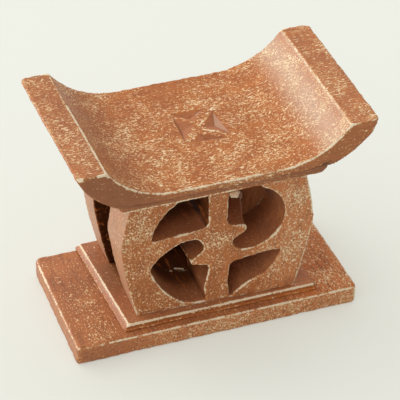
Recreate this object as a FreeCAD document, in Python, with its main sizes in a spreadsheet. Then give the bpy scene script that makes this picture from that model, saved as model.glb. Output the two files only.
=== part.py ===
"""Ashanti stool, a small carved one.

A curved seat stands on a cap board, two thick openwork panels and a moulded
plinth, on a flat base board. Wooden pegs hold the boards together.
Millimetres. The origin is the middle of the base's underside, the seat's long
side lies along X, the side seen first faces -Y, and +Z is up.
"""
import FreeCAD, Part
import math
import os
import re
import Sketcher

SIZES = {
    "base_length": 160.0,
    "base_depth": 82.2,
    "base_thickness": 10.8,
    "base_plan_radius": 3.5,
    "base_arris": 1.2,
    "plinth_length": 109.0,
    "plinth_depth": 75.4,
    "plinth_thickness": 3.6,
    "plinth_foot": 0.8,
    "plinth_flare": 1.3,
    "plinth_slope": 1.1,
    "plinth_plan_radius": 1.6,
    "plinth_lip_radius": 1.3,
    "plinth_arris": 0.6,
    "column_shift_x": 3.2,
    "column_shift_y": 3.1,
    "panel_height": 73.8,
    "panel_foot_width": 89.6,
    "panel_lower_width": 100.2,
    "panel_widest_width": 107.8,
    "panel_widest_height": 44.0,
    "panel_upper_width": 103.8,
    "panel_head_width": 97.0,
    "panel_shift_x": 2.0,
    "front_panel_thickness": 25.0,
    "front_panel_inset": 4.0,
    "front_panel_turn": 2.2,
    "rear_panel_thickness": 20.0,
    "rear_panel_inset": 3.0,
    "symbol_height": 37.7,
    "ring_radius": 39.0,
    "sill_height": 1.5,
    "opening_overrun": 5.0,
    "opening_taper_share": 0.86,
    "cap_length": 117.0,
    "cap_depth": 72.2,
    "cap_thickness": 12.3,
    "cap_end_radius": 5.5,
    "cap_relief": 4.0,
    "seat_length": 165.0,
    "seat_depth": 94.6,
    "seat_thickness": 6.8,
    "seat_height": 26.8,
    "seat_tip_width": 16.3,
    "seat_flat_share": 0.3415,
    "seat_under_share": 0.512,
    "seat_plan_radius": 4.5,
    "seat_arris": 0.8,
    "peg_width": 5.0,
    "peg_clearance": 0.1,
    "peg_in_panel": 10.0,
    "peg_in_base": 6.0,
    "peg_in_seat": 4.0,
    "peg_end_gap": 0.3,
    "lower_peg_share": 0.76,
    "upper_peg_share": 0.463,
    "cut_overrun": 2.0,
}

# Places worked out from the sizes, as text that the sheet's names are read into.
PANEL_BASE = "(base_thickness + plinth_thickness)"
CAP_BASE = "(base_thickness + plinth_thickness + panel_height)"
SEAT_BASE = "(base_thickness + plinth_thickness + panel_height + cap_thickness)"
FRONT_MIDDLE = "(column_shift_y - plinth_depth / 2 + front_panel_inset + front_panel_thickness / 2)"
REAR_MIDDLE = "(column_shift_y + plinth_depth / 2 - rear_panel_inset - rear_panel_thickness / 2)"
SEAT_FLAT = "(seat_length * seat_flat_share / 2)"
SEAT_UNDER = "(seat_length * seat_under_share / 2)"

# Two points closer than this are one point, and faces that meet at less than this angle are smooth.
SAME_PLACE = 1e-6
SMOOTH_DEGREES = 5

doc = FreeCAD.newDocument("ashanti_stool")
sheet = doc.addObject("Spreadsheet::Sheet", "Sizes")
for row, (alias, number) in enumerate(SIZES.items(), start=1):
    sheet.set(f"A{row}", alias)
    sheet.set(f"B{row}", f"{number:g}")
    sheet.setAlias(f"B{row}", alias)
doc.recompute()


def named(text):
    """The text with each size's name pointing at its cell."""
    return re.sub(r"[a-z_]+", lambda word: ("Sizes." if word.group() in SIZES else "") + word.group(), text)


def worth(text):
    """The number that the text gives with the sheet's present sizes."""
    result = sheet.evalExpression(named(text))
    return float(getattr(result, "Value", result))


def bind(item, prop, text):
    """Ties one property of an object to the sheet."""
    item.setExpression(prop, named(text))


def turned(turn):
    """A placement at the origin, turned about Z by a text in degrees."""
    return FreeCAD.Placement(FreeCAD.Vector(), FreeCAD.Rotation(FreeCAD.Vector(0, 0, 1), worth(turn)))


def new_body(name, x="0", y="0", z="0", turn="0"):
    """A body whose frame is bound to the sheet; turn is in degrees about Z."""
    body = doc.addObject("PartDesign::Body", name)
    body.Label = name
    body.Placement = turned(turn)
    for axis, text in zip("xyz", (x, y, z)):
        bind(body, f"Placement.Base.{axis}", text)
    if turn != "0":
        bind(body, "Placement.Rotation.Angle", turn)
    return body


def new_sketch(body, name, role, lift="0"):
    """A sketch on one of the body's origin planes, lifted along the plane's normal."""
    sketch = body.newObject("Sketcher::SketchObject", name)
    plane = next(feature for feature in body.Origin.OriginFeatures if feature.Role == role)
    sketch.AttachmentSupport = (plane, [""])
    sketch.MapMode = "FlatFace"
    if lift != "0":
        bind(sketch, "AttachmentOffset.Base.z", lift)
    return sketch


def pin(sketch, geometry, corner, across, up):
    """Holds one point of the sketch at a place given by two texts."""
    for kind, axis, text in (("DistanceX", -2, across), ("DistanceY", -1, up)):
        if text == "0":
            sketch.addConstraint(Sketcher.Constraint("PointOnObject", geometry, corner, axis))
            continue
        place = sketch.addConstraint(Sketcher.Constraint(kind, -1, 1, geometry, corner, worth(text)))
        bind(sketch, f"Constraints[{place}]", text)


def tangent_middle(start, end, heading):
    """The middle of the arc from start to end that leaves start along heading."""
    chord = end - start
    lean = heading.getAngle(chord)
    side = FreeCAD.Vector(-chord.y, chord.x, 0)
    if side.dot(heading) < 0:
        side = -side
    side.normalize()
    return (start + end) / 2 + side * (chord.Length / 2 * math.tan(lean / 2))


def outline(sketch, rows):
    """A closed outline. Each row is a kind, the point it runs to and, for an arc, a point it passes.

    Kinds: from, line, arc, leaving (an arc tangent to the line before it) and meeting (an arc
    tangent to the line after it). A line closes the outline where the rows don't.
    """
    start, steps = rows[0], list(rows[1:])
    if steps[-1][1:3] != start[1:3]:
        steps.append(("line", start[1], start[2]))
    count = len(steps)
    corners = [start[1:3]] + [step[1:3] for step in steps[:-1]]
    places = [FreeCAD.Vector(worth(across), worth(up), 0) for across, up in corners]
    edges = []
    for index, step in enumerate(steps):
        here, there = places[index], places[(index + 1) % count]
        if step[0] == "line":
            edge = sketch.addGeometry(Part.LineSegment(here, there), False)
        else:
            if step[0] == "arc":
                middle = FreeCAD.Vector(worth(step[3]), worth(step[4]), 0)
            elif step[0] == "leaving":
                middle = tangent_middle(here, there, here - places[index - 1])
            else:
                middle = tangent_middle(there, here, there - places[(index + 2) % count])
            edge = sketch.addGeometry(Part.Arc(here, middle, there), False)
        first, last = (1, 2) if sketch.getPoint(edge, 1).isEqual(here, SAME_PLACE) else (2, 1)
        edges.append((edge, first, last))
    for index, step in enumerate(steps):
        edge, first, last = edges[index]
        after = (index + 1) % count
        smooth = step[0] == "meeting" or steps[after][0] == "leaving"
        joint = "Tangent" if smooth else "Coincident"
        sketch.addConstraint(Sketcher.Constraint(joint, edge, last, edges[after][0], edges[after][1]))
        pin(sketch, edge, first, *corners[index])
        if step[0] == "arc":
            passed = sketch.addGeometry(Part.Point(FreeCAD.Vector(worth(step[3]), worth(step[4]), 0)), True)
            pin(sketch, passed, 1, step[3], step[4])
            sketch.addConstraint(Sketcher.Constraint("PointOnObject", passed, 1, edge))
    return sketch


def rectangle(sketch, length, depth):
    """A rectangle centred on the sketch's origin."""
    left, right = f"-({length}) / 2", f"({length}) / 2"
    front, back = f"-({depth}) / 2", f"({depth}) / 2"
    return outline(sketch, [
        ("from", left, front), ("line", right, front), ("line", right, back), ("line", left, back),
    ])


def square_corner(place, width, right, back):
    """One corner of a square as two texts; the place is the square's centre and its turn in degrees."""
    across, up, turn = place
    return (f"{across} + ({width}) / 2 * ({right} * cos({turn}) - {back} * sin({turn}))",
            f"{up} + ({width}) / 2 * ({right} * sin({turn}) + {back} * cos({turn}))")


def squares(sketch, places, width):
    """Squares of one width, each with its own centre and turn."""
    steps = (("from", -1, -1), ("line", 1, -1), ("line", 1, 1), ("line", -1, 1))
    for place in places:
        outline(sketch, [(kind, *square_corner(place, width, right, back)) for kind, right, back in steps])
    return sketch


def pad(body, name, sketch, length, both_ways=False):
    """A pad of the sketch, along its normal or evenly to both sides."""
    feature = body.newObject("PartDesign::Pad", name)
    feature.Profile = sketch
    feature.Midplane = both_ways
    bind(feature, "Length", length)
    doc.recompute()
    return feature


def pocket(body, name, sketch, depth, reverse=False, both_ways=False):
    """A pocket against the sketch's normal, along it where reverse is set, or evenly to both sides."""
    before = body.Shape.Volume
    feature = body.newObject("PartDesign::Pocket", name)
    feature.Profile = sketch
    feature.Midplane = both_ways
    feature.Reversed = reverse
    bind(feature, "Length", depth)
    doc.recompute()
    if body.Shape.Volume >= before:
        raise RuntimeError(f"{body.Label}: {name} cuts nothing")
    return feature


def ease(body, name, size, wanted, kind="Chamfer"):
    """Chamfers or rounds the edges of the body's last feature that the test picks."""
    base = body.Tip
    edges = [f"Edge{number}" for number, edge in enumerate(base.Shape.Edges, start=1) if wanted(edge)]
    if not edges:
        raise RuntimeError(f"{body.Label}: {name} finds no edge")
    feature = body.newObject("PartDesign::" + kind, name)
    feature.Base = (base, edges)
    bind(feature, "Size" if kind == "Chamfer" else "Radius", size)
    doc.recompute()
    return feature


def upright(edge):
    """Whether the edge runs straight up."""
    box = edge.BoundBox
    return box.XLength + box.YLength < box.ZLength / 100


def level_across(edge):
    """Whether the edge runs straight along Y."""
    box = edge.BoundBox
    return box.XLength + box.ZLength < box.YLength / 100


def lies_at(edge, axis, place):
    """Whether the whole edge lies at one place along an axis."""
    box = edge.BoundBox
    near = box.DiagonalLength / 1000
    return max(abs(getattr(box, axis + "Min") - place), abs(getattr(box, axis + "Max") - place)) < near


def sharp(shape, edge):
    """Whether the faces beside the edge meet at an angle."""
    middle = edge.valueAt((edge.FirstParameter + edge.LastParameter) / 2)
    beside = shape.ancestorsOfType(edge, Part.Face)
    normals = [face.normalAt(*face.Surface.parameter(middle)) for face in beside]
    return math.degrees(normals[0].getAngle(normals[-1])) > SMOOTH_DEGREES


def peg_places(spread, shift_x="0", shift_y="0"):
    """The six peg places and their turns, seen from a frame that stands at the shift."""
    front, rear = [], []
    for along in (f"-{spread} / 2", "0", f"{spread} / 2"):
        front.append((f"panel_shift_x - {shift_x} + ({along}) * cos(front_panel_turn)",
                      f"{FRONT_MIDDLE} - {shift_y} - ({along}) * sin(front_panel_turn)", "-front_panel_turn"))
        rear.append((f"panel_shift_x - {shift_x} - ({along})", f"{REAR_MIDDLE} - {shift_y}", "0"))
    return front + rear


LOWER_SPREAD = "(panel_foot_width * lower_peg_share)"
UPPER_SPREAD = "(seat_length * upper_peg_share)"
MORTISE = "peg_width + 2 * peg_clearance"


def make_base():
    """The flat board that the stool stands on."""
    body = new_body("base_board")
    plan = rectangle(new_sketch(body, "base_plan", "XY_Plane"), "base_length", "base_depth")
    pad(body, "base_slab", plan, "base_thickness")
    ease(body, "base_corners", "base_plan_radius", upright, "Fillet")
    ease(body, "base_arrises", "base_arris", lambda edge: sharp(body.Tip.Shape, edge))
    mortises = squares(new_sketch(body, "base_mortise_plan", "XY_Plane", "base_thickness"),
                       peg_places(LOWER_SPREAD), MORTISE)
    pocket(body, "base_mortises", mortises, "peg_in_base + peg_end_gap")
    return body


def make_plinth():
    """The moulded board under the panels: a spread foot with a sloped top, and a lip."""
    body = new_body("plinth_board", "column_shift_x", "column_shift_y", "base_thickness")
    foot = rectangle(new_sketch(body, "foot_plan", "XY_Plane"),
                     "plinth_length + 2 * plinth_flare", "plinth_depth + 2 * plinth_flare")
    pad(body, "plinth_foot_slab", foot, "plinth_foot + plinth_slope")
    ease(body, "plinth_foot_corners", "plinth_plan_radius", upright, "Fillet")
    foot_top, lip_top = worth("plinth_foot + plinth_slope"), worth("plinth_thickness")
    ease(body, "plinth_slopes", "plinth_slope", lambda edge: lies_at(edge, "Z", foot_top))
    lip = rectangle(new_sketch(body, "lip_plan", "XY_Plane"), "plinth_length", "plinth_depth")
    pad(body, "plinth_lip_slab", lip, "plinth_thickness")
    ease(body, "plinth_lip_corners", "plinth_lip_radius",
         lambda edge: upright(edge) and sharp(body.Tip.Shape, edge), "Fillet")
    ease(body, "plinth_arrises", "plinth_arris", lambda edge: lies_at(edge, "Z", lip_top))
    mortises = squares(new_sketch(body, "plinth_mortise_plan", "XY_Plane", "plinth_thickness"),
                       peg_places(LOWER_SPREAD, "column_shift_x", "column_shift_y"), MORTISE)
    pocket(body, "plinth_mortises", mortises, "plinth_thickness + cut_overrun")
    return body


# Outlines of the four openings of a panel, as shares of the ring's radius, measured from the
# symbol's middle. HEAD and SILL stand for the levels where an opening runs out of the panel's
# head or stops above its foot. What the four leave standing is the symbol: a stem with two
# knuckles, crossed by an S-shaped arm.
HEAD = "panel_height + opening_overrun"
SILL = "sill_height"
upper_left_shares = [
    ("from", -0.162, HEAD), ("line", -0.141, 0.456), ("arc", -0.236, 0.333, -0.162, 0.377),
    ("arc", -0.959, 0.262, -0.564, 0.297), ("arc", -0.641, 0.810, -0.880, 0.536), ("line", -0.359, HEAD),
]
lower_left_shares = [
    ("from", -0.962, -0.226), ("arc", -0.749, 0.033, -0.879, -0.082), ("arc", -0.379, 0.179, -0.577, 0.136),
    ("arc", -0.208, 0.031, -0.264, 0.136), ("arc", -0.241, -0.072, -0.205, -0.026),
    ("line", -0.351, -0.164), ("arc", -0.341, -0.259, -0.385, -0.218),
    ("line", -0.221, -0.285), ("arc", -0.121, -0.385, -0.144, -0.318),
    ("line", -0.179, -0.705), ("line", -0.149, SILL), ("line", -0.300, SILL), ("line", -0.462, -0.895),
    ("arc", -0.962, -0.226, -0.782, -0.597),
]
upper_right_shares = [
    ("from", 0.138, HEAD), ("line", 0.123, 0.462), ("arc", 0.205, 0.303, 0.138, 0.346),
    ("line", 0.354, 0.272),
    ("arc", 0.377, 0.154, 0.408, 0.218), ("line", 0.267, 0.092), ("arc", 0.221, -0.036, 0.218, 0.033),
    ("arc", 0.438, -0.144, 0.295, -0.115), ("arc", 0.946, 0.249, 0.713, -0.067),
    ("arc", 0.628, 0.851, 0.921, 0.562), ("line", 0.436, HEAD),
]
lower_right_shares = [
    ("from", 0.182, SILL), ("line", 0.162, -0.687), ("line", 0.174, -0.462),
    ("arc", 0.295, -0.326, 0.200, -0.364),
    ("arc", 0.928, -0.262, 0.564, -0.272), ("arc", 0.700, -0.644, 0.851, -0.451),
    ("arc", 0.377, -0.797, 0.526, -0.708), ("line", 0.264, -0.897), ("line", 0.244, SILL),
]
# Each opening with the point it narrows towards, as shares of the ring's radius.
OPENINGS = {
    "upper_left": (upper_left_shares, (-0.46, 0.56)),
    "lower_left": (lower_left_shares, (-0.51, -0.36)),
    "upper_right": (upper_right_shares, (0.51, 0.36)),
    "lower_right": (lower_right_shares, (0.46, -0.54)),
}


def opening_rows(name, narrowing):
    """An opening's outline in the panel's frame, drawn towards its middle by the narrowing."""
    shares, (middle_across, middle_up) = OPENINGS[name]

    def place(across, up):
        level = up if isinstance(up, str) else f"symbol_height + ring_radius * {up}"
        middle = f"(symbol_height + ring_radius * {middle_up})"
        return (f"ring_radius * ({middle_across} + {narrowing} * ({across} - {middle_across}))",
                f"{middle} + {narrowing} * ({level} - {middle})")

    rows = []
    for kind, across, up, *passed in shares:
        rows.append((kind, *place(across, up), *(place(*passed) if passed else ())))
    return rows


def make_panel(name, thickness, middle_y, turn):
    """A thick openwork panel. Before it is turned, its outer face looks along -Y."""
    body = new_body(name, "panel_shift_x", middle_y, PANEL_BASE, turn)
    foot, widest, head = "panel_foot_width / 2", "panel_widest_width / 2", "panel_head_width / 2"
    lower, upper = "panel_lower_width / 2", "panel_upper_width / 2"
    lower_level, upper_level = "panel_widest_height / 2", "(panel_height + panel_widest_height) / 2"
    face = outline(new_sketch(body, name + "_face", "XZ_Plane"), [
        ("from", f"-{foot}", "0"), ("line", foot, "0"),
        ("arc", widest, "panel_widest_height", lower, lower_level),
        ("arc", head, "panel_height", upper, upper_level),
        ("line", f"-{head}", "panel_height"),
        ("arc", f"-{widest}", "panel_widest_height", f"-{upper}", upper_level),
        ("arc", f"-{foot}", "0", f"-{lower}", lower_level),
    ])
    pad(body, name + "_slab", face, thickness, both_ways=True)
    for opening in OPENINGS:
        outer = outline(new_sketch(body, f"{name}_{opening}_outer", "XZ_Plane", f"{thickness} / 2"),
                        opening_rows(opening, "1"))
        inner = outline(new_sketch(body, f"{name}_{opening}_inner", "XZ_Plane", f"-{thickness} / 2"),
                        opening_rows(opening, "opening_taper_share"))
        before = body.Shape.Volume
        cut = body.newObject("PartDesign::SubtractiveLoft", f"{name}_{opening}")
        cut.Profile = outer
        cut.Sections = [inner]
        cut.Ruled = True
        doc.recompute()
        if body.Shape.Volume >= before:
            raise RuntimeError(f"{name}: {opening} cuts nothing")
    for end, spread, level in (("lower", LOWER_SPREAD, "0"), ("upper", UPPER_SPREAD, "panel_height")):
        places = [(along, "0", "0") for along in (f"-{spread} / 2", "0", f"{spread} / 2")]
        mortises = squares(new_sketch(body, f"{name}_{end}_mortise_plan", "XY_Plane", level), places, MORTISE)
        pocket(body, f"{name}_{end}_mortises", mortises, "peg_in_panel + peg_end_gap", reverse=end == "lower")
    return body


def make_cap():
    """The board between the panels and the seat, round-ended and hollowed to the seat's curve."""
    body = new_body("cap_board", "column_shift_x", "column_shift_y", CAP_BASE)
    end, radius, top = "cap_length / 2", "cap_end_radius", "(cap_thickness + seat_thickness)"
    side = outline(new_sketch(body, "cap_side", "XZ_Plane"), [
        ("from", f"-{end} + {radius}", "0"), ("line", f"{end} - {radius}", "0"), ("leaving", end, radius),
        ("line", end, top), ("line", f"-{end}", top), ("line", f"-{end}", radius),
        ("leaving", f"-{end} + {radius}", "0"),
    ])
    pad(body, "cap_slab", side, "cap_depth", both_ways=True)
    flat, arm, rise = SEAT_UNDER, "seat_length / 2", "cap_thickness + seat_height - cap_relief"
    left_flat, right_flat = f"-{flat} - column_shift_x", f"{flat} - column_shift_x"
    left_arm, right_arm = f"-{arm} - column_shift_x", f"{arm} - column_shift_x"
    hollow = outline(new_sketch(body, "cap_hollow_side", "XZ_Plane"), [
        ("from", left_flat, "cap_thickness"), ("line", right_flat, "cap_thickness"),
        ("leaving", right_arm, rise), ("line", left_arm, rise), ("meeting", left_flat, "cap_thickness"),
    ])
    pocket(body, "cap_hollow", hollow, "cap_depth + cut_overrun", both_ways=True)
    mortises = squares(new_sketch(body, "cap_mortise_plan", "XY_Plane", "cap_thickness"),
                       peg_places(UPPER_SPREAD, "column_shift_x", "column_shift_y"), MORTISE)
    pocket(body, "cap_mortises", mortises, "cap_thickness + cut_overrun")
    return body


def make_seat():
    """The curved seat, its arms swept up to level tips."""
    body = new_body("seat_board", z=SEAT_BASE)
    under, flat, arm = SEAT_UNDER, SEAT_FLAT, "seat_length / 2"
    tip = f"({arm} - seat_tip_width)"
    side = outline(new_sketch(body, "seat_side", "XZ_Plane"), [
        ("from", f"-{under}", "0"), ("line", under, "0"), ("leaving", arm, "seat_height"),
        ("line", tip, "seat_height"), ("meeting", flat, "seat_thickness"),
        ("line", f"-{flat}", "seat_thickness"), ("leaving", f"-{tip}", "seat_height"),
        ("line", f"-{arm}", "seat_height"), ("meeting", f"-{under}", "0"),
    ])
    pad(body, "seat_slab", side, "seat_depth", both_ways=True)
    end, front, radius = arm, "seat_depth / 2", "seat_plan_radius"
    plan = new_sketch(body, "seat_plan", "XY_Plane")
    rectangle(plan, "seat_length + 2 * cut_overrun", "seat_depth + 2 * cut_overrun")
    outline(plan, [
        ("from", f"{radius} - {end}", f"-{front}"), ("line", f"{end} - {radius}", f"-{front}"),
        ("leaving", end, f"{radius} - {front}"), ("line", end, f"{front} - {radius}"),
        ("leaving", f"{end} - {radius}", front), ("line", f"{radius} - {end}", front),
        ("leaving", f"-{end}", f"{front} - {radius}"), ("line", f"-{end}", f"{radius} - {front}"),
        ("leaving", f"{radius} - {end}", f"-{front}"),
    ])
    pocket(body, "seat_corners", plan, "2 * seat_height + cut_overrun", both_ways=True)
    ease(body, "seat_tip_arrises", "seat_arris",
         lambda edge: level_across(edge) and sharp(body.Tip.Shape, edge))
    mortises = squares(new_sketch(body, "seat_mortise_plan", "XY_Plane"), peg_places(UPPER_SPREAD), MORTISE)
    pocket(body, "seat_mortises", mortises, "peg_in_seat + peg_end_gap", reverse=True)
    return body


def make_pegs(name, spread, bottom, length):
    """One group of six square pegs."""
    group = doc.addObject("Part::Compound", name)
    group.Label = name
    pegs = []
    for number, place in enumerate(peg_places(spread), start=1):
        peg = doc.addObject("Part::Box", f"{name}_{number}")
        bind(peg, "Length", "peg_width")
        bind(peg, "Width", "peg_width")
        bind(peg, "Height", length)
        peg.Placement = turned(place[-1])
        for axis, text in zip("xyz", (*square_corner(place, "peg_width", -1, -1), bottom)):
            bind(peg, f"Placement.Base.{axis}", text)
        if place[-1] != "0":
            bind(peg, "Placement.Rotation.Angle", place[-1])
        pegs.append(peg)
    group.Links = pegs
    doc.recompute()
    return group


parts = [
    make_base(),
    make_plinth(),
    make_panel("front_panel", "front_panel_thickness", FRONT_MIDDLE, "-front_panel_turn"),
    make_panel("rear_panel", "rear_panel_thickness", REAR_MIDDLE, "180"),
    make_cap(),
    make_seat(),
    make_pegs("lower_pegs", LOWER_SPREAD, "base_thickness - peg_in_base",
              "peg_in_base + plinth_thickness + peg_in_panel"),
    make_pegs("upper_pegs", UPPER_SPREAD, f"{CAP_BASE} - peg_in_panel",
              "peg_in_panel + cap_thickness + peg_in_seat"),
]
doc.recompute()

for item in doc.Objects:
    if "Invalid" in item.State or "Error" in item.State:
        raise RuntimeError(f"{item.Label} failed: {item.State}")
for part in parts:
    if part.Shape.isNull() or not part.Shape.isValid():
        raise RuntimeError(f"{part.Label} has no valid shape")

os.makedirs("parts", exist_ok=True)
for part in parts:
    part.Shape.exportStep(f"parts/{part.Label}.step")
    box = part.Shape.BoundBox
    print(f"{part.Label}: {len(part.Shape.Solids)} solids, {part.Shape.Volume:.0f} mm3, "
          f"x {box.XMin:.1f} to {box.XMax:.1f}, y {box.YMin:.1f} to {box.YMax:.1f}, "
          f"z {box.ZMin:.1f} to {box.ZMax:.1f}")
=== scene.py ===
"""Looks of the ashanti stool: hand-carved boards with terracotta paint worn back to a pale ground.

Each board is a finer copy of its solid, with softened arrises, a hand-worked surface and measures of its own
arrises and creases, from which the paint's wear is drawn; painted shade, painted sheen and painted warm light
are mixed into the paint's colour too. All is in the part's own frame.
The scene is in metres; x, y, z and the places and sizes in the tables are in millimetres.
"""

import math

import bmesh
import bpy
import numpy as np
from mathutils import Matrix, Vector, noise


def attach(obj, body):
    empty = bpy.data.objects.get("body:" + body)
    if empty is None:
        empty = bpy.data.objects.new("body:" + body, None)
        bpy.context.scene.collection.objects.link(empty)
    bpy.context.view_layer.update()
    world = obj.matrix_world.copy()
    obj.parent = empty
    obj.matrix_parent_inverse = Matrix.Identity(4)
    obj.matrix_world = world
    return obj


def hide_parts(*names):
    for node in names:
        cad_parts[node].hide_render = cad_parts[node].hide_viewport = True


MM = 0.001
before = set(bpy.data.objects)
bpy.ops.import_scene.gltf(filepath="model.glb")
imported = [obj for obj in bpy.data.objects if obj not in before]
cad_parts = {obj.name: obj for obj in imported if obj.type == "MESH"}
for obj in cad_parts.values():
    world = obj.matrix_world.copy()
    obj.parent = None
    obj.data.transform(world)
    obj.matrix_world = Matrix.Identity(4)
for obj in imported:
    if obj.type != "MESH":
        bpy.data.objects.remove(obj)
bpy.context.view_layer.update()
scene = bpy.context.scene
scene.view_settings.view_transform = "Standard"

# Camera, fitted to the photograph's straight edges. Angles are in degrees, lens and sensor in millimetres.
AZIMUTH, ELEVATION, ROLL = -21.92, 37.07, -1.74
LENS, SENSOR = 206.26, 36.0
DISTANCE, TARGET = 1.244, Vector((0.00531, 0.00656, 0.05498))
CLIP_START, CLIP_END = 0.05, 20

# Lamps: the point they look at and how far from it they stand.
LAMP_TARGET, LAMP_DISTANCE = Vector((0, 0, 0.07)), 1.8

# Sky: the way it gets brighter, its strength at right angles to that way, and the least it falls to.
SKY_LEAN, SKY_LEVEL, SKY_LEAST = (-0.50, 0.42, 0.36), 0.66, 0.20

# Floor: half its side, its level, its colour, and the colour and share of the light it gives itself.
FLOOR_HALF, FLOOR_LEVEL = 4.0, -0.00005
FLOOR_COLOR, FLOOR_GLOW, GLOW_SHARE = (0.90, 0.91, 0.84, 1), (0.86, 0.87, 0.78, 1), 0.45

# Colours, linear: the paint, with its brush marks, its painted shade, mottling and painted warm light; its
# scuffs; the ground under it; chips down to the bare ground; faded paint, also used as painted sheen; wood in
# the openings, dark and lit, whose dark is also painted shade in the openings, the slot and the creases; and
# the pegs.
PAINT = (0.415, 0.114, 0.024, 1)
PAINT_DEEP = (0.285, 0.070, 0.013, 1)
PAINT_SHADED = (0.210, 0.060, 0.015, 1)
PAINT_WARM = (0.520, 0.156, 0.033, 1)
PAINT_WARM_LIT = (0.640, 0.172, 0.026, 1)
SCUFFED = (0.670, 0.275, 0.075, 1)
GROUND = (0.880, 0.575, 0.260, 1)
PANEL_GROUND = (0.830, 0.600, 0.330, 1)
CREAM = (0.940, 0.800, 0.560, 1)
FADED_AND_SHEEN = (0.775, 0.680, 0.525, 1)
DARK_WOOD_AND_SHADE = (0.045, 0.011, 0.004, 1)
RAW_LIT = (0.480, 0.140, 0.028, 1)
PEG_DARK, PEG_LIGHT = (0.42, 0.26, 0.13, 1), (0.60, 0.42, 0.24, 1)

# What each mesh carries and its paint reads, from 0 to 1: how flecked the paint is, how sharp an arris, how
# sharp a crease, darkened as painted shade and also carrying painted shadow lines, how bare the wood, which
# in the openings and the slot is mostly painted shade, how pale the paint, partly faded and partly painted
# sheen, how deep, which is painted shade, and how much painted warm light.
MEASURES = ("fleck", "arris", "crease_shade", "raw_and_shade", "pale_and_sheen", "deep", "warm_light")

# Scales of the paint's marks, in waves per metre.
WANDER_SCALE, STROKE_SCALE, CROSSING_SCALE, FINE_SCALE = 150.0, 1250.0, 1450.0, 3000.0
CLUSTER_SCALE, DROP_SCALE, MOTTLE_SCALE, BRUSH_SCALE = 75.0, 150.0, 90.0, 700.0
RAGGED_SCALE, BROKEN_SCALE, BARE_STREAK_SCALE, GRAIN_SCALE = 750.0, 160.0, 420.0, 900.0
# How far strokes wander, in metres, and how those that cross the others are shaped, turned and held back.
WANDER_PUSH = 0.0038
CROSSING_STRETCH, CROSSING_TURN, CROSSING_LESS = (1.0, 0.65, 0.9), (0, 0, 0.9), 0.04
# The level a stroke has to reach where there are no flecks, and how much full flecks lower it.
STROKE_LEVEL, LEVEL_FALL = 0.715, 0.165
# Where scuffs, flecks and their bare cores begin and are full, measured from that level.
SCUFF_OVER, FLECK_OVER, CORE_OVER = (-0.10, 0.01), (-0.015, 0.050), (0.040, 0.105)
# How strongly each mark covers the paint.
SCUFF_COVER, FLECK_COVER, CREASE_COVER = 0.50, 0.78, 0.60
EDGE_SCUFF_COVER, EDGE_BARE_COVER = 0.60, 0.92

# Corners of a solid's mesh that are closer than this are one, and what a point keeps of its own place
# when it is averaged with its neighbours.
WELD, OWN_SHARE = 0.002, 0.35
# The bend of the surface where an arris starts, and where a crease starts and how much more is a full one.
ARRIS_START, CREASE_START, CREASE_SPAN = 0.02, 0.05, 0.30
# Rounds of averaging that a bend is measured against, on boards and in the carving, and a full bend there.
BEND_ROUNDS, CARVED_ROUNDS, CARVED_BEND = 4, 6, 0.04
# Sizes of the hand work's broad and small lumps, and of the lumps in the arrises' wear.
BROAD_LUMPS, SMALL_LUMPS, WORN_LUMPS = 17, 3.2, 3.5
# How each seed shifts the lumps, and what brings their noise to between about -1 and 1.
SEED_SHIFT, LUMP_GAIN = (1.7, 3.1, 0.9), 1.6
# How squarely a surface faces a way before it starts to count as facing it, and counts in full.
FACING, FRONTAL, LEVEL = (0.4, 0.8), (0.3, 0.7), (0.5, 0.9)


def add_object(name, data):
    made = bpy.data.objects.new(name, data)
    scene.collection.objects.link(made)
    return made


def add_camera():
    """The camera at the photograph's place."""
    across, tilt, roll = (math.radians(angle) for angle in (AZIMUTH, ELEVATION, ROLL))
    back = Vector((math.sin(across) * math.cos(tilt), -math.cos(across) * math.cos(tilt), math.sin(tilt)))
    right = Vector((math.cos(across), math.sin(across), 0))
    up = back.cross(right)
    camera = add_object("camera", bpy.data.cameras.new("camera"))
    camera.data.lens, camera.data.sensor_width = LENS, SENSOR
    camera.data.clip_start, camera.data.clip_end = CLIP_START, CLIP_END
    side = math.cos(roll) * right - math.sin(roll) * up
    head = math.sin(roll) * right + math.cos(roll) * up
    turn = Matrix((side, head, back)).transposed().to_4x4()
    camera.matrix_world = Matrix.Translation(TARGET + back * DISTANCE) @ turn
    scene.camera = camera


def add_light(name, towards, size, power, color, sheen_only=False):
    """A square soft light that looks at the stool from a direction."""
    lamp = bpy.data.lights.new(name, "AREA")
    lamp.shape, lamp.size, lamp.energy, lamp.color = "SQUARE", size, power, color
    light = add_object(name, lamp)
    aim = Vector(towards).normalized()
    light.location = LAMP_TARGET + aim * LAMP_DISTANCE
    light.rotation_mode = "QUATERNION"
    light.rotation_quaternion = (-aim).to_track_quat("-Z", "Y")
    light.visible_diffuse = not sheen_only


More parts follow.
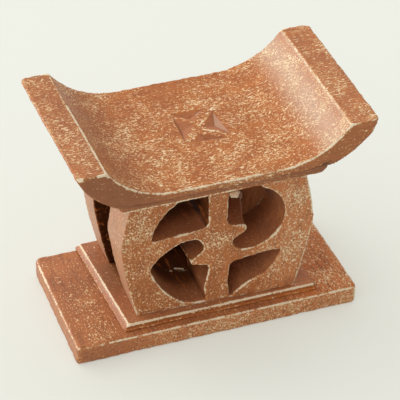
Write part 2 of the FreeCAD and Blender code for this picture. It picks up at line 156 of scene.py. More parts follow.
class Nodes:
    """Short ways to write a node tree."""

    # Sockets of a node that mixes colours: share, first colour, second colour; and its result.
    SHARE, FIRST, SECOND, RESULT = 0, 6, 7, 2

    def __init__(self, tree):
        self.tree = tree

    def add(self, kind, inputs=None, **settings):
        node = self.tree.nodes.new(kind)
        for name, value in settings.items():
            setattr(node, name, value)
        for name, value in (inputs or {}).items():
            self.set(node.inputs[name], value)
        return node

    def set(self, socket, value):
        if isinstance(value, bpy.types.NodeSocket):
            self.tree.links.new(value, socket)
        else:
            socket.default_value = value

    def math(self, operation, first, second):
        return self.add("ShaderNodeMath", {0: first, 1: second}, operation=operation).outputs[0]

    def vector(self, operation, first, rest):
        inputs = {0: first, **rest}
        return self.add("ShaderNodeVectorMath", inputs, operation=operation).outputs

    def ramp(self, value, low, high, bottom=0.0, top=1.0):
        """The value eased from bottom to top between low and high."""
        inputs = {"Value": value, "From Min": low, "From Max": high, "To Min": bottom, "To Max": top}
        return self.add("ShaderNodeMapRange", inputs, interpolation_type="SMOOTHSTEP").outputs["Result"]

    def mix(self, share, first, second):
        node = self.add("ShaderNodeMix", data_type="RGBA")
        self.set(node.inputs[self.SHARE], share)
        self.set(node.inputs[self.FIRST], first)
        self.set(node.inputs[self.SECOND], second)
        return node.outputs[self.RESULT]

    def cover(self, under, over, mask, strength):
        """One colour laid over another where a mask says, at a strength."""
        return self.mix(self.math("MULTIPLY", mask, strength), under, over)

    def noise(self, vector, scale, detail=2.0, rough=0.5, distort=0.0):
        inputs = {"Vector": vector, "Scale": scale, "Detail": detail, "Roughness": rough,
                  "Distortion": distort}
        return self.add("ShaderNodeTexNoise", inputs).outputs["Fac"]

    def sway(self, value, wave, amount):
        """The value moved up and down by a noise, by up to half the amount each way."""
        return self.math("ADD", value, self.math("MULTIPLY", self.math("SUBTRACT", wave, 0.5), amount))

    def stretch(self, vector, scale, turn=(0, 0, 0)):
        return self.add("ShaderNodeMapping", {"Vector": vector, "Scale": scale, "Rotation": turn}).outputs[0]

    def measure(self, name):
        return self.add("ShaderNodeAttribute", attribute_name=name).outputs["Fac"]

    def show(self, shader):
        """Ends the tree with a shader."""
        output = self.add("ShaderNodeOutputMaterial")
        self.tree.links.new(shader.outputs[0], output.inputs[0])


def new_material(name):
    material = bpy.data.materials.new(name)
    material.use_nodes = True
    material.node_tree.nodes.clear()
    return material, Nodes(material.node_tree)


def stroke_masks(n, place, fleck, run):
    """Masks of scuffs, flecks and their bare cores, drawn in short strokes, and of drops; the fine noise."""
    # Strokes wander: the place is pushed about a little before the strokes are drawn.
    wander = n.add("ShaderNodeTexNoise", {"Vector": place, "Scale": WANDER_SCALE, "Detail": 1.0})
    push = n.vector("SUBTRACT", wander.outputs["Color"], {1: (0.5, 0.5, 0.5)})[0]
    push = n.vector("SCALE", push, {"Scale": WANDER_PUSH})[0]
    wandered = n.vector("ADD", place, {1: push})[0]
    along = n.stretch(wandered, run)
    crossing = n.stretch(wandered, CROSSING_STRETCH, CROSSING_TURN)
    main_strokes = n.noise(along, STROKE_SCALE)
    cross_strokes = n.math("SUBTRACT", n.noise(crossing, CROSSING_SCALE), CROSSING_LESS)
    fine = n.noise(place, FINE_SCALE, 1.0)
    drawn = n.sway(n.math("MAXIMUM", main_strokes, cross_strokes), fine, 0.16)

    clustered = n.noise(place, CLUSTER_SCALE, 3.0, 0.6, 0.5)
    density = n.math("MULTIPLY", fleck, n.ramp(clustered, 0.32, 0.66, 0.60, 1.18))
    level = n.math("SUBTRACT", STROKE_LEVEL, n.math("MULTIPLY", density, LEVEL_FALL))
    over = n.math("SUBTRACT", drawn, level)
    scuffs, flecks, cores = (n.ramp(over, *limits) for limits in (SCUFF_OVER, FLECK_OVER, CORE_OVER))

    # Drops: a few round spots, chosen by the colour that each cell of the pattern has.
    spots = n.add("ShaderNodeTexVoronoi", {"Vector": wandered, "Scale": DROP_SCALE, "Randomness": 1.0})
    chosen = n.ramp(n.add("ShaderNodeSeparateColor", {0: spots.outputs["Color"]}).outputs[0], 0.90, 0.93)
    ring = n.sway(spots.outputs["Distance"], fine, 0.10)
    drops = n.math("MULTIPLY", n.ramp(ring, 0.105, 0.060), chosen)
    drops = n.math("MULTIPLY", drops, n.ramp(fleck, 0.1, 0.5))
    return scuffs, flecks, cores, drops, fine


def arris_masks(n, place, arris):
    """Masks of the arrises' scuffed margin and of their thin ragged pale line, broken here and there."""
    ragged = n.noise(place, RAGGED_SCALE, 3.0, 0.6)
    broken = n.noise(place, BROKEN_SCALE)
    edge = n.sway(n.sway(arris, ragged, 1.30), broken, 0.70)
    return n.ramp(edge, 0.30, 0.60), n.ramp(edge, 0.52, 0.74)


def worn_and_shaded_paint(name, run=(0.36, 1.1, 1.0), brush=(0.12, 1.0, 1.0), ground=GROUND, streaks=0.5):
    """Brushed paint, scuffed in short strokes and worn through on the arrises, with painted shade, painted
    sheen and painted warm light mixed in.

    Run and brush are the stretches that draw the scuffs and the brush marks out along one way; ground is
    the colour under the paint, and streaks the strength of the darker brush marks.
    """
    material, n = new_material(name)
    place = n.add("ShaderNodeTexCoord").outputs["Object"]
    fleck, arris, crease_shade, raw_and_shade, pale_and_sheen, deep, warm_light = (n.measure(word) for word in MEASURES)
    scuffs, flecks, cores, drops, fine = stroke_masks(n, place, fleck, run)
    edge_scuff, edge_bare = arris_masks(n, place, arris)

    mottle = n.noise(place, MOTTLE_SCALE, 4.0, 0.6, 0.3)
    brushed = n.noise(n.stretch(place, brush), BRUSH_SCALE, 3.0, 0.6)
    paint = n.mix(n.ramp(mottle, 0.35, 0.70), PAINT, PAINT_WARM)
    # Painted warm light: brighter, redder paint.
    paint = n.mix(warm_light, paint, PAINT_WARM_LIT)
    paint = n.mix(n.ramp(brushed, 0.53, 0.34, 0.0, streaks), paint, PAINT_DEEP)
    # Painted shade, then paler paint that is partly faded and partly painted sheen.
    paint = n.mix(deep, paint, PAINT_SHADED)
    paint = n.mix(pale_and_sheen, paint, FADED_AND_SHEEN)
    paint = n.cover(paint, n.mix(pale_and_sheen, SCUFFED, FADED_AND_SHEEN), scuffs, SCUFF_COVER)
    paint = n.cover(paint, n.mix(pale_and_sheen, ground, CREAM), flecks, FLECK_COVER)
    paint = n.cover(paint, CREAM, cores, FLECK_COVER)
    paint = n.mix(drops, paint, CREAM)
    paint = n.cover(paint, SCUFFED, edge_scuff, EDGE_SCUFF_COVER)
    paint = n.cover(paint, CREAM, edge_bare, EDGE_BARE_COVER)

    # Inside the openings the paint is thin over dark wood, with bare streaks; the dark there, and on the
    # plinth between the panels, is mostly painted shade.
    inside = n.noise(n.stretch(place, (1.0, 0.16, 1.0)), BARE_STREAK_SCALE, 3.0, 0.6)
    bare = n.mix(n.ramp(inside, 0.54, 0.72), DARK_WOOD_AND_SHADE, RAW_LIT)
    inner = n.math("MULTIPLY", raw_and_shade, n.math("SUBTRACT", 1.0, edge_bare))
    # Creases are darkened, as are the lines of painted shadow that the crease measure carries: painted shade.
    color = n.cover(n.mix(inner, paint, bare), DARK_WOOD_AND_SHADE, crease_shade, CREASE_COVER)

    # Flecks and bare arrises lie lower than the paint and are rougher, and bare wood shines less.
    chips = n.math("MAXIMUM", n.math("MULTIPLY", flecks, 0.6), edge_bare)
    height = n.math("ADD", n.math("MULTIPLY", chips, -0.6), n.math("MULTIPLY", brushed, 0.5))
    height = n.math("ADD", height, n.math("MULTIPLY", fine, 0.25))
    bump = n.add("ShaderNodeBump", {"Strength": 0.55, "Distance": 0.0002, "Height": height}).outputs[0]
    rough = n.math("ADD", n.ramp(mottle, 0.3, 0.7, 0.42, 0.50), n.math("MULTIPLY", chips, 0.16))
    shine = n.ramp(raw_and_shade, 0.02, 0.08, 0.24, 0.06)
    n.show(n.add("ShaderNodeBsdfPrincipled", {"Base Color": color, "Roughness": rough, "Normal": bump,
                                              "Specular IOR Level": shine}))
    return material


def bare_wood():
    """The pegs' whittled wood, with grain up the peg."""
    material, n = new_material("bare_wood")
    place = n.add("ShaderNodeTexCoord").outputs["Object"]
    grain = n.noise(n.stretch(place, (1.0, 1.0, 0.08)), GRAIN_SCALE, 4.0, 0.6)
    color = n.mix(n.ramp(grain, 0.35, 0.65), PEG_DARK, PEG_LIGHT)
    bump = n.add("ShaderNodeBump", {"Strength": 0.4, "Distance": 0.0001, "Height": grain}).outputs[0]
    rough = n.ramp(grain, 0.3, 0.7, 0.6, 0.75)
    n.show(n.add("ShaderNodeBsdfPrincipled", {"Base Color": color, "Roughness": rough, "Normal": bump}))
    return material


class Skin:
    """The points, normals and links of a mesh as arrays, with ways to smooth and measure them."""

    def __init__(self, mesh):
        self.mesh = mesh
        self.count = len(mesh.vertices)
        self.links = np.empty(len(mesh.edges) * 2, np.int64)
        mesh.edges.foreach_get("vertices", self.links)
        self.links = self.links.reshape(-1, 2)
        self.valence = np.maximum(np.bincount(self.links.ravel(), minlength=self.count), 1)[:, None]

    def points(self):
        values = np.empty(self.count * 3)
        self.mesh.vertices.foreach_get("co", values)
        return values.reshape(-1, 3)

    def normals(self):
        values = np.empty(self.count * 3)
        self.mesh.vertex_normals.foreach_get("vector", values)
        return values.reshape(-1, 3)

    def move(self, points):
        self.mesh.vertices.foreach_set("co", points.astype(np.float32).ravel())
        self.mesh.update()

    def spread(self, values, times):
        """Points or other rows of values averaged with their neighbours, a number of times."""
        first, second = self.links[:, 0], self.links[:, 1]
        for _ in range(times):
            total = np.empty_like(values)
            for column in range(values.shape[1]):
                part = values[:, column]
                total[:, column] = (np.bincount(first, part[second], self.count)
                                    + np.bincount(second, part[first], self.count))
            values = OWN_SHARE * values + (1 - OWN_SHARE) * total / self.valence
        return values

    def keep(self, name, values):
        layer = self.mesh.attributes.new(name, "FLOAT", "POINT")
        layer.data.foreach_set("value", np.clip(values, 0, 1).astype(np.float32))


def lumps(points, size, seed):
    """Smooth unevenness between about -1 and 1, in lumps of a given size, from the place and seed alone."""
    shift = Vector([seed * along for along in SEED_SHIFT])
    return np.array([noise.noise(Vector(point) / size + shift) for point in points]) * LUMP_GAIN


def fine_copy(node, name, voxel, softness):
    """A finely meshed copy of a solid, with its arrises softened, in the solid's place."""
    joined = bmesh.new()
    joined.from_mesh(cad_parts[node].data)
    bmesh.ops.remove_doubles(joined, verts=joined.verts, dist=WELD * MM)
    whole = bpy.data.meshes.new(name)
    joined.to_mesh(whole)
    joined.free()
    piece = add_object(name, whole)
    remesh = piece.modifiers.new("remesh", "REMESH")
    remesh.mode, remesh.voxel_size, remesh.use_smooth_shade = "VOXEL", voxel, True
    bpy.context.view_layer.update()
    made = bpy.data.meshes.new_from_object(piece.evaluated_get(bpy.context.evaluated_depsgraph_get()))
    piece.modifiers.clear()
    piece.data = made
    made.name = name
    made.materials.clear()
    skin = Skin(made)
    skin.move(skin.spread(skin.points(), softness))
    return piece, skin


def near(values, centre, width):
    """1 at the centre, easing to 0 at the width."""
    share = np.clip(1 - np.abs(values - centre) / width, 0, 1)
    return share * share * (3 - 2 * share)


def step(values, low, high):
    """0 below low, 1 above high, eased between."""
    share = np.clip((values - low) / (high - low), 0, 1)
    return share * share * (3 - 2 * share)


def patches(first, second, rows):
    """The largest share that a list of round patches (place, place, radius, share) gives at each point."""
    share = np.zeros(len(first))
    for across, along, radius, amount in rows:
        share = np.maximum(share, amount * near(np.hypot(first - across, second - along), 0, radius))
    return share


def strokes(first, second, rows):
    """The largest share that a list of lines (from, to, half width, share) gives at each point."""
    share = np.zeros(len(first))
    for (a, b), (c, d), width, amount in rows:
        run = ((first - a) * (c - a) + (second - b) * (d - b)) / ((c - a) ** 2 + (d - b) ** 2)
        run = np.clip(run, 0, 1)
        gap = np.hypot(first - a - run * (c - a), second - b - run * (d - b))
        share = np.maximum(share, amount * near(gap, 0, width))
    return share


def work(skin, seed, sharpest, hand=0.12, wear=0.14):
    """Hand-worked unevenness and worn arrises; gives the points, normals, and the arris and crease measures.

    Sharpest is the bend of the sharpest arris; hand and wear say how strong each is. All in millimetres.
    """
    points, normals = skin.points(), skin.normals()
    bend = ((points - skin.spread(points, BEND_ROUNDS)) * normals).sum(1) / MM
    arris = np.clip((bend - ARRIS_START) / (sharpest - ARRIS_START), 0, 1)
    crease_shade = np.clip((-bend - CREASE_START) / CREASE_SPAN, 0, 1)
    broad, small = lumps(points, BROAD_LUMPS * MM, seed), lumps(points, SMALL_LUMPS * MM, seed + 5)
    worn = 1.0 - 1.6 * lumps(points, WORN_LUMPS * MM, seed + 9)
    offset = hand * (0.75 * broad + 0.35 * small) + arris * wear * worn
    points = points + normals * offset[:, None] * MM
    skin.move(points)
    return points, normals, arris, crease_shade


def keep_wear_and_light(skin, fleck, arris, crease_shade, raw_and_shade=0.0, pale_and_sheen=0.0, deep=0.0, warm_light=0.0):
    """Writes the measures that the paint reads."""
    for name, values in zip(MEASURES, (fleck, arris, crease_shade, raw_and_shade, pale_and_sheen, deep, warm_light)):
        skin.keep(name, values + np.zeros(skin.count))


def finish_piece(piece, material, node=None):
    """Gives a piece its material and its place in the part, and hides the solid that it stands for if there
    is one.
    """
    piece.data.materials.append(material)
    for polygon in piece.data.polygons:
        polygon.use_smooth = True
    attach(piece, "root")
    if node:
        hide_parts(node)


# The base: half its depth, where its front left corner begins, and where its top is more flecked.
BASE_HALF_DEPTH = 41
BASE_CORNER = (-76.5, -37.6)
BASE_FLECKED = [
    (-64, -3, 16, 0.5), (-64, -20, 12, 0.35), (-66, -34, 15, 0.5),
    (72, 5, 34, 0.9), (70, -28, 24, 0.7),
]


def make_base():
    piece, skin = fine_copy("base_board", "base_worn", voxel=0.8 * MM, softness=1)
    points, normals, arris, crease_shade = work(skin, seed=1, sharpest=0.11, hand=0.17)
    x, y, z = (points / MM).T
    # The left end was cut askew, longer at the front than at the back, and the right end a little long.
    askew = 2.2 * np.clip((y + BASE_HALF_DEPTH) / (2 * BASE_HALF_DEPTH), 0, 1) - 1.0
    points[:, 0] += (askew * np.clip((-50 - x) / 30, 0, 1) + 0.8 * np.clip((x - 50) / 30, 0, 1)) * MM
    points[:, 2] = np.maximum(points[:, 2], 0)
    # The front left corner is sharper than the others, so it is drawn out again.
    corner = (x < BASE_CORNER[0]) & (y < BASE_CORNER[1])
    across, along = np.abs(x - BASE_CORNER[0]), np.abs(y - BASE_CORNER[1])
    larger, smaller = np.maximum(across, along), np.minimum(across, along)
    growth = np.where(corner, 0.24 * (smaller / np.maximum(larger, 1e-6)) ** 2, 0)
    points[:, 0] -= across * growth * MM
    points[:, 1] -= along * growth * MM
    skin.move(points)

    top, left, front = step(normals[:, 2], *LEVEL), -normals[:, 0], step(-normals[:, 1], *FACING)
    fleck = np.where(normals[:, 2] > 0.5, 0.42 + patches(x, y, BASE_FLECKED), 0.30 + 0.66 * step(x, -66, -20))
    fleck = np.where(left > 0.6, 0.25, fleck)
    # Bare arrises along the front, the back and both ends, and bare corners at the front.
    bared = np.maximum.reduce([
        patches(y, z, [(-40.5, 10.4, 1.25, 0.95)]) * (0.62 + 0.38 * step(x, -66, -58)),
        patches(y, z, [(40.5, 10.3, 1.2, 0.6)]),
        patches(x, z, [(-79.5, 10.4, 1.3, 0.74), (79.5, 10.3, 1.2, 0.7)]),
        patches(x, y, [(-79, -40, 2.6, 1.0)]) * step(z, 9.2, 10.2),
        patches(x, y, [(79.8, -40.9, 3.4, 1.1)]),
    ])
    # The left-facing sides and the front are paled: painted sheen and painted light. The top is a little
    # paler in its colour, less so at the right.
    pale_and_sheen = np.maximum(0.14 * step(left, *FACING), 0.09 * front) + 0.07 * top
    pale_and_sheen = pale_and_sheen - 0.06 * step(x, 40, 60) * top
    # Painted warm light: brighter, redder paint at the front's left and on the top's right.
    warm_light = 0.75 * np.maximum(front * step(x, -80, -30), step(x, 35, 60) * top)
    keep_wear_and_light(skin, fleck, np.maximum(arris * 0.30, bared), crease_shade, pale_and_sheen=pale_and_sheen, warm_light=warm_light)
    paint = worn_and_shaded_paint("worn_and_shaded_paint_base", run=(0.9, 0.5, 0.9), brush=(1.0, 0.12, 1.0), streaks=0.8)
    finish_piece(piece, paint, "base_board")


# Two cream spots on the plinth between the panels, drawn like bared paint: from, to, half width, share.
PLINTH_SPOTS = [((-14.4, -0.8), (-13.0, 0.8), 1.9, 1.25), ((-9.8, 2.6), (-6.0, 0.8), 1.5, 1.35)]


def make_plinth():
    piece, skin = fine_copy("plinth_board", "plinth_worn", voxel=0.66 * MM, softness=0)
    points, normals, arris, crease_shade = work(skin, seed=2, sharpest=0.14, hand=0.07, wear=0.06)
    x, y, z = (points / MM).T
    # A nick in the front lip.
    points[:, 1] += 0.7 * MM * near(x, 8.5, 1.6) * step(-y, 33, 34.5) * step(z, 12.5, 13.5)
    # The left flank was planed askew, and flatter than the others.
    back = np.clip((y + 36) / 78, 0, 1)
    high = step(z, 12.0, 14.0)
    shift = high * (1.3 - 2.9 * back) + (1 - high) * (-0.4 - 2.0 * back)
    points[:, 0] += shift * step(-x, 45, 50) * MM
    skin.move(points)

    top = step(normals[:, 2], *LEVEL) * step(z, 13.4, 14.0)
    slot = top * step(y, -10, -3) * step(47 - np.abs(x - 3), 0, 8)
    strip = top * step(-x, 42, 47)
    flank = step(-normals[:, 0], 0.3, 0.6) * (1 - top)
    # Bare arrises: the lip's all round, the foot's at the front and the left, and the corner between those.
    bared = np.maximum.reduce([
        patches(y, z, [(-34.4, 14.1, 1.35, 1.15), (-35.7, 11.9, 0.8, 0.50), (40.6, 14.1, 1.0, 0.7)]),
        patches(x, z, [(57.5, 14.1, 1.0, 0.3), (-51.1, 14.1, 1.2, 1.0), (-52.4, 11.9, 0.8, 0.6)]),
        patches(x, y, [(-50.6, -34.0, 2.2, 1.2)]) * (z > 13),
        strokes(x, y, PLINTH_SPOTS) * top,
    ])
    fleck = np.where(normals[:, 2] > 0.5, 0.30, 0.6) * (1 - slot)
    # The left flank is paled as painted sheen; the top is a little paler.
    pale_and_sheen = 0.15 * flank * step(z, 11.6, 13.6) + 0.09 * top * (1 - slot)
    # Painted shade on the top's left strip, in the cove, and along the left flank's foot.
    deep = 0.18 * strip + 0.12 * top + 0.6 * near(z, 12.9, 1.0) * (1 - top) * (1 - flank)
    deep = deep + 0.7 * flank * (1 - step(z, 11.3, 12.3))
    # Painted warm light at the right end.
    warm_light = 0.6 * step(x, 30, 50) * (1 - slot)
    # The top between the panels is dark: painted shade.
    keep_wear_and_light(skin, fleck, np.maximum(arris * 0.25, bared), crease_shade * (1 - flank), raw_and_shade=0.88 * slot,
              pale_and_sheen=pale_and_sheen, deep=deep, warm_light=warm_light)
    finish_piece(piece, worn_and_shaded_paint("worn_and_shaded_paint_plinth", run=(0.6, 0.6, 0.9)), "plinth_board")


# A panel: its middle, and half its width at three levels.
PANEL_MIDDLE, PANEL_LEVELS, PANEL_HALVES = 2, (14.4, 58.4, 88.2), (44.8, 53.9, 48.5)
# The front panel's outer face, and the depth behind it over which the openings' walls get darker with painted
# shade.
FRONT_FACE, GLOOM_DEPTH = -31, 25
# Where a panel is more flecked, where its arrises are more worn, and where less.
PANEL_FLECKED = [
    (-40, 62, 18, 0.95), (-40, 80, 13, 0.6), (-44, 46, 14, 0.6), (44, 50, 26, 0.85),
    (44, 76, 15, 0.7), (2, 54, 13, 0.35), (-28, 24, 12, 0.3), (30, 30, 14, 0.4),
]
PANEL_WORN, PANEL_WHOLE = [(-30, 33, 14, 0.35)], [(11, 44, 8, 0.7), (34, 28, 15, 0.55)]


def make_panel(node, name, voxel, seed, sharpest, front):
    """A panel: the rear one is the front one turned half round, so its wear is looked up turned as well."""
    piece, skin = fine_copy(node, name, voxel, softness=1)
    points, normals, arris, crease_shade = work(skin, seed, sharpest)
    x, y, z = (points / MM).T
    if front:
        # The upper knuckle was left fuller towards the slot.
        points[:, 0] += 4.2 * MM * step(y, -27, -8) * near(x, 18, 12) * near(z, 64, 12)
    else:
        # And the rear panel's lower opening narrower there.
        points[:, 0] -= 2.8 * MM * step(30 - y, 0, 8) * near(x, 33, 8) * near(z, 42, 15)
    skin.move(points)

    # Within the outer edges lie the openings' walls. The inner face looks to the slot, the outer one away.
    left = -normals[:, 0]
    within = step(np.interp(z, PANEL_LEVELS, PANEL_HALVES) - np.abs(x - PANEL_MIDDLE), 2.0, 4.0)
    wall = within * (1 - step(np.abs(normals[:, 1]), 0.35, 0.75))
    face = -normals[:, 1] if front else normals[:, 1]
    inner, outer = step(-face, *FACING), step(face, *FACING)
    across = x if front else 2 * PANEL_MIDDLE - x
    fleck = np.where(left > 0.6, 0.45, 0.68 + patches(across, z, PANEL_FLECKED))
    fleck = fleck * (1 - 0.8 * wall) * (1 - inner)
    kept = np.where(inner > 0.3, 0.12, 0.74) + patches(across, z, PANEL_WORN)
    kept -= patches(across, z, PANEL_WHOLE)
    kept *= 1 - 0.85 * step(-across, 35, 39) * step(z, 31, 35)
    if front:
        # The openings' walls get painted shade, darker towards the slot and where they face left, and the
        # face towards the slot is dark with painted shade.
        gloom = np.where(x < 7, 0.76, 0.50) * step((y - FRONT_FACE) / GLOOM_DEPTH, 0.32, 0.88)
        gloom = gloom * (1 - 0.8 * near(x, 17, 9) * near(z, 63, 9))
        gloom = gloom + (0.40 + 0.25 * (z > 66)) * step(left, *FACING) * (x < 3) * (1 - near(z, 25, 12))
        raw_and_shade = np.maximum(wall * (0.08 + gloom), 0.88 * inner)
    else:
        # The rear panel's face towards the slot, and its openings' walls, are dark: painted shade.
        slot_shade = 0.95 - 0.07 * step(x, 12, 18) - 0.66 * step(x, 20, 30) * step(56 - z, 0, 6)
        raw_and_shade = np.maximum(wall * 0.6, inner * slot_shade)
    # The left-facing sides are paled as painted sheen.
    pale_and_sheen = 0.24 * step(left, 0.6, 0.9) * (1 - within) + 0.045 * outer * (1 + step(across, 25, 35))
    pale_and_sheen = pale_and_sheen + 0.10 * np.maximum(wall, inner) * (1 - raw_and_shade)
    # Painted shade on the outer face under the cap.
    deep = 0.10 * patches(across, z, [(2, 75, 18, 1.0)]) * outer
    # Painted warm light on the outer face, stronger towards one end.
    warm_light = outer * (0.12 + 0.6 * step(across, 15, 35))
    keep_wear_and_light(skin, fleck, arris * kept, crease_shade, raw_and_shade, pale_and_sheen, deep, warm_light)
    paint = worn_and_shaded_paint("worn_and_shaded_paint_" + name, (0.8, 1.0, 0.6), (1.0, 1.0, 0.15), PANEL_GROUND, 0.65)
    finish_piece(piece, paint, node)


# The dab of filler: its middle and its half sizes.
DAB_MIDDLE, DAB_HALVES = Vector((9.3, -31.9, 85.4)), (2.6, 1.5, 2.3)


def make_filler():
    """The dab of filler in the corner between the front panel's stem and the cap."""
    shape = bmesh.new()
    bmesh.ops.create_icosphere(shape, subdivisions=5, radius=1)
    for vertex in shape.verts:
        place = vertex.co.copy()
        swell = 1 + 0.28 * noise.noise(place * 1.3 + Vector((4, 1, 7))) + 0.10 * noise.noise(place * 4.5)
        place = Vector([along * half for along, half in zip(place, DAB_HALVES)]) * swell
        vertex.co = (place + DAB_MIDDLE) * MM
    mesh = bpy.data.meshes.new("filler_dab")
    shape.to_mesh(mesh)
    shape.free()
    piece = add_object("filler_dab", mesh)
    keep_wear_and_light(Skin(mesh), 0.4, 0.45, 0.0, pale_and_sheen=0.85)
    finish_piece(piece, worn_and_shaded_paint("worn_and_shaded_paint_filler"))


def end_lift(x):
    """How far the hollow under the seat's right end was cut higher than the left, in millimetres."""
    return 3.6 * step(x, 34, 54) * (1 - step(x, 61, 79))


def make_cap():
    piece, skin = fine_copy("cap_board", "cap_worn", voxel=0.8 * MM, softness=1)
    points, normals, arris, crease_shade = work(skin, seed=5, sharpest=0.18)
    x, y, z = (points / MM).T
    points[:, 2] += end_lift(x) * step(z, 92, 100) * MM
    skin.move(points)
    # Bare along the front's lower arris, and a painted shadow under the seat's front edge.
    bared = patches(y, z, [(-32.9, 88.9, 1.5, 0.88)]) * (1 - 0.5 * step(x, 5, 20))
    shade = 0.75 * step(-normals[:, 1], *FRONTAL) * step(z, 91.3, 92.8) * (1 - step(x, 25, 45))
    # The cap is darker all over, more so at its right end: painted shade under the seat.
    keep_wear_and_light(skin, 0.35, np.maximum(arris * 0.2, bared), np.maximum(crease_shade, shade), pale_and_sheen=0.08,
              deep=0.34 + 0.3 * step(x, 40, 48))
    finish_piece(piece, worn_and_shaded_paint("worn_and_shaded_paint_cap"), "cap_board")


# The pinwheel: four chip-carved notches, each a triangle, its deepest point and its depth.
PINWHEEL = [
    ((-8.5, 17.9), (9.6, 16.8), (0.7, 7.4), (-0.3, 12.9), 1.5),
    ((-8.5, 15.7), (-10.2, -9.0), (0.2, 5.9), (-8.2, 3.2), 1.8),
    ((13.9, 14.3), (15.8, -9.5), (3.6, 2.0), (10.4, 2.2), 1.6),
    ((-5.5, -10.2), (14.4, -11.8), (-1.2, -2.9), (2.6, -8.2), 1.5),
]
# Its middle, the height of the seat's top there, and how far from its middle it reaches.
PIN_MIDDLE, PIN_HEIGHT, PIN_REACH = (2.4, 1.6), 107, 20
# Where the ridges between the notches are worn to the ground: from, to, half width, share. The last row is no
# wear but a painted glint, a painted highlight.
RIDGES = [
    ((13.8, 15.8), (13.3, 14.7), 1.5, 1.00), ((10.9, 12.7), (9.9, 12.0), 1.1, 0.85),
    ((8.6, 9.8), (5.4, 6.1), 0.9, 0.55), ((5.9, 6.8), (2.5, 3.8), 1.2, 0.82),
    ((2.0, 3.2), (-4.6, -2.0), 0.8, 0.40), ((-4.9, -2.0), (-4.7, -2.7), 1.2, 0.85),
    ((-4.8, -6.3), (-4.6, -7.2), 1.2, 0.85), ((2.9, -0.4), (9.0, -4.9), 1.3, 0.76),
    ((9.0, -4.9), (11.4, -6.3), 0.9, 0.66), ((16.2, -9.4), (17.4, -9.4), 1.1, 1.00),
    ((-7.2, 13.6), (-6.4, 13.0), 1.0, 0.80), ((-1.3, 11.0), (-0.5, 10.6), 0.9, 0.7),
]
# Single bare chips on the seat's top, and bare lines at the left tip's corner and both tips' inner edges.
CHIPS = [
    (5.1, -20.6, 1.1, 1.3), (12.6, -21.9, 1.1, 1.3), (19.0, -35.7, 1.0, 1.3), (18.7, -30.0, 1.0, 1.2),
    (62.5, 24.6, 1.8, 1.2), (59.1, 21.8, 1.6, 1.2), (-40.2, -2.5, 3.5, 0.75),
]
TIP_LINES = [
    ((-81.5, -46.5), (-79.5, -47), 2.2, 1.0), ((-66.4, -46), (-66.4, 16), 1.7, 0.9),
    ((66.1, -46), (66.1, 44), 1.4, 0.66),
]
# Where the seat's top is more flecked, and where less.
SEAT_FLECKED = [(-34, 2, 22, 0.4), (-22, -25, 20, 0.4), (11, 29, 16, 0.3), (10, -29, 22, 0.3)]
SEAT_CLEAN = [(-6, 48, 30, 0.45), (-58, 10, 26, 0.3), (-52, -26, 14, 0.4), (8, -20, 10, 0.4)]
# How far to either side the front face's lower edge is looked up, and a height above the whole seat.
EDGE_REACH, SEAT_OVER = 80, 130.0
# How far the front edge was cut up from below.
FRONT_LIFT = 2.6
# How much longer and deeper the seat is made, for what the softening of its arrises takes off.
SEAT_LONGER, SEAT_DEEPER = 1.005, 1.009


def chip_depth(x, y, corners, low, depth):
    """How deep a chip-carved notch is at each point: flat facets that fall to its deepest point."""
    value = np.zeros(len(x))
    for (a, b), (c, d) in zip(corners, corners[1:] + corners[:1]):
        area = (c - a) * (low[1] - b) - (low[0] - a) * (d - b)
        share = ((c - a) * (y - b) - (x - a) * (d - b)) / area
        first = (low[0] - c) * (y - d) - (x - c) * (low[1] - d)
        first = first / ((low[0] - c) * (b - d) - (a - c) * (low[1] - d))
        inside = (share >= 0) & (first >= 0) & (1 - share - first >= 0)
        value = np.maximum(value, np.where(inside, share, 0))
    return value * depth


def refine_pinwheel(mesh):
    """Meshes the seat's top more finely round the pinwheel."""
    refined = bmesh.new()
    refined.from_mesh(mesh)
    middle = Vector((*PIN_MIDDLE, PIN_HEIGHT))
    chosen = [face for face in refined.faces if face.normal.z > 0.7
              and (face.calc_center_median() / MM - middle).length < PIN_REACH]
    edges = dict.fromkeys(edge for face in chosen for edge in face.edges)
    bmesh.ops.subdivide_edges(refined, edges=list(edges), cuts=2, use_grid_fill=True)
    refined.to_mesh(mesh)
    refined.free()


def height_over_edge(x, z, front):
    """How far each point lies above the lower edge of the seat's front face, millimetre by millimetre."""
    places = np.clip(np.round(x + EDGE_REACH).astype(int), 0, 2 * EDGE_REACH)
    lowest = np.full(2 * EDGE_REACH + 1, SEAT_OVER)
    np.minimum.at(lowest, places[front], z[front])
    return z - np.interp(x, np.arange(-EDGE_REACH, EDGE_REACH + 1), lowest)


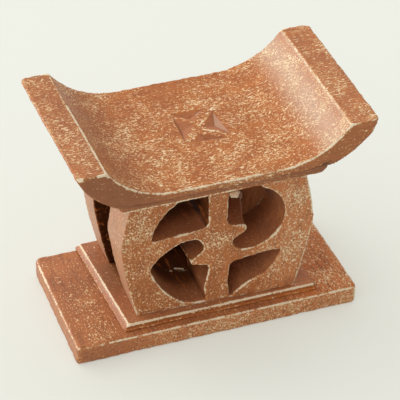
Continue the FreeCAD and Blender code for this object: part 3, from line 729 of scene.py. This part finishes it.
def make_seat():
    piece, _ = fine_copy("seat_board", "seat_worn", voxel=0.77 * MM, softness=1)
    refine_pinwheel(piece.data)
    skin = Skin(piece.data)
    points, normals, arris, crease_shade = work(skin, seed=6, sharpest=0.16)
    x, y, z = (points / MM).T
    top = step(normals[:, 2], *LEVEL) * (z > 104)
    fore, under = step(-normals[:, 1], *FRONTAL), step(-normals[:, 2], 0.1, 0.5)
    height = height_over_edge(x, z, fore > 0.5)
    depth = np.maximum.reduce([chip_depth(x, y, corners, low, deep) for *corners, low, deep in PINWHEEL])
    points[:, 2] -= depth * top * MM
    # The underside was cut higher at the right end, and along the front edge.
    lift = FRONT_LIFT * step(-y, 38, 46) * step(60 - np.abs(x), 0, 12) * np.clip(1 - height / 6, 0, 1)
    points[:, 2] += (under * end_lift(x) + lift) * MM
    points[:, 0] *= SEAT_LONGER
    points[:, 1] *= SEAT_DEEPER
    skin.move(points)

    # The pinwheel has worn ridges, notches darkened as painted shade, and paler facets where they face the
    # back left, towards the light: painted light.
    carved = (np.hypot(x - PIN_MIDDLE[0], y - PIN_MIDDLE[1]) < PIN_REACH) & (top > 0.5)
    turned = skin.normals()
    bend = ((points - skin.spread(points, CARVED_ROUNDS)) * turned).sum(1) / (CARVED_BEND * MM)
    arris = np.where(carved, np.clip(bend, 0, 1) * 0.35, arris)
    crease_shade = np.where(carved, np.clip(-bend, 0, 1) * 0.4, crease_shade)
    facing = step(0.5 * turned[:, 1] - 0.7 * turned[:, 0], 0.04, 0.16)
    lit = carved * step(depth, 0.1, 0.3) * (0.05 + 0.20 * facing * (x > 4))
    bared = np.maximum(strokes(x, y, RIDGES), patches(x, y, CHIPS)) * top
    bared = np.maximum(bared, strokes(x, y, TIP_LINES) * step(z, 124, 126))
    # Painted shadow along the front face's lower edge, above the cap.
    shadow_line = fore * step(58 - np.abs(x), 0, 8) * (1 - step(height, 0.7, 1.6))
    crease_shade, arris = np.maximum(crease_shade, shadow_line), arris * (1 - shadow_line)
    fleck = 0.85 + patches(x, y, SEAT_FLECKED) + 0.25 * step(x, 50, 60) * (x < 67)
    fleck = fleck - patches(x, y, SEAT_CLEAN)
    front_fleck = 0.10 + 0.75 * step(x, -50, 0) - 0.40 * step(x, 25, 50)
    fleck = np.where(normals[:, 1] < -0.6, front_fleck, fleck) * (1 - step(depth, 0.02, 0.15))
    # The front arris and the tips' inner ones are the most worn.
    front_edge = step(-y, 43.5, 46) * step(normals[:, 2], 0.1, 0.3) * (1 - 0.5 * step(np.abs(x), 66, 70))
    tip_edge = (2.1 - 1.1 * (x > 0)) * step(z, 124, 126) * (1 - step(np.abs(x), 70, 72))
    kept = 0.30 + 0.52 * np.maximum(front_edge, tip_edge)
    # The slope at the right is paled as painted sheen; the front face and the top near the left tip get
    # painted shade, darkest near both ends of the front face; and the front's middle gets painted warm light.
    slope_sheen = step(x, 46, 64) * (normals[:, 0] < -0.25) * top * step(66.8 - x, 0, 1.2)
    pale_and_sheen = 0.62 * slope_sheen + 0.04 * step(z, 126, 127) * top + lit + 0.06 * fore
    deep = fore * (0.26 + 0.34 * step(-x, 35, 50) + patches(x, z, [(53, 103, 7, 0.7)]))
    deep = deep + 0.4 * near(x, -58, 24) * top
    keep_wear_and_light(skin, fleck, np.maximum(arris * kept, bared), crease_shade, pale_and_sheen=pale_and_sheen, deep=deep,
              warm_light=0.25 * fore * step(x, -30, 20))
    finish_piece(piece, worn_and_shaded_paint("worn_and_shaded_paint_seat"), "seat_board")


def dress_pegs():
    wood = bare_wood()
    for name in ("lower_pegs", "upper_pegs"):
        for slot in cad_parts[name].material_slots:
            slot.link, slot.material = "OBJECT", wood


def add_floor():
    """A wide pale floor. Looked at, straight or in a reflection, it glows a little, but it lights nothing."""
    corners = ((-1, -1), (1, -1), (1, 1), (-1, 1))
    mesh = bpy.data.meshes.new("floor")
    mesh.from_pydata([(x * FLOOR_HALF, y * FLOOR_HALF, FLOOR_LEVEL) for x, y in corners], [], [(0, 1, 2, 3)])
    floor = add_object("floor", mesh)
    material, n = new_material("pale_floor")
    matte = n.add("ShaderNodeBsdfPrincipled", {"Base Color": FLOOR_COLOR, "Roughness": 0.9,
                                               "Specular IOR Level": 0.2})
    glow = n.add("ShaderNodeEmission", {"Color": FLOOR_GLOW, "Strength": 1.0})
    rays = n.add("ShaderNodeLightPath").outputs
    seen = n.math("MAXIMUM", rays["Is Glossy Ray"], rays["Is Transmission Ray"])
    seen = n.math("MAXIMUM", rays["Is Camera Ray"], seen)
    mixed = n.add("ShaderNodeMixShader", {0: n.math("MULTIPLY", seen, GLOW_SHARE)})
    n.tree.links.new(matte.outputs[0], mixed.inputs[1])
    n.tree.links.new(glow.outputs[0], mixed.inputs[2])
    n.show(mixed)
    mesh.materials.append(material)


def add_sky():
    """A white sky, brighter above and towards the window at the back left."""
    world = bpy.data.worlds.new("studio")
    scene.world = world
    world.use_nodes = True
    n = Nodes(world.node_tree)
    towards = n.add("ShaderNodeTexCoord").outputs["Generated"]
    lean = n.vector("DOT_PRODUCT", towards, {1: SKY_LEAN})["Value"]
    background = world.node_tree.nodes["Background"]
    background.inputs["Color"].default_value = (1, 1, 1, 1)
    n.set(background.inputs["Strength"], n.math("MAXIMUM", n.math("ADD", lean, SKY_LEVEL), SKY_LEAST))


add_camera()
make_base()
make_plinth()
make_panel("front_panel", "front_panel_worn", voxel=0.68 * MM, seed=3, sharpest=0.17, front=True)
make_panel("rear_panel", "rear_panel_worn", voxel=0.8 * MM, seed=4, sharpest=0.20, front=False)
make_cap()
make_filler()
make_seat()
dress_pegs()
add_floor()
add_sky()
add_light("key", (-0.54, 0.74, 0.40), size=1.2, power=5, color=(1.0, 0.98, 0.95))
add_light("window", (-0.62, 0.72, 0.30), size=1.0, power=19, color=(1.0, 0.98, 0.96), sheen_only=True)
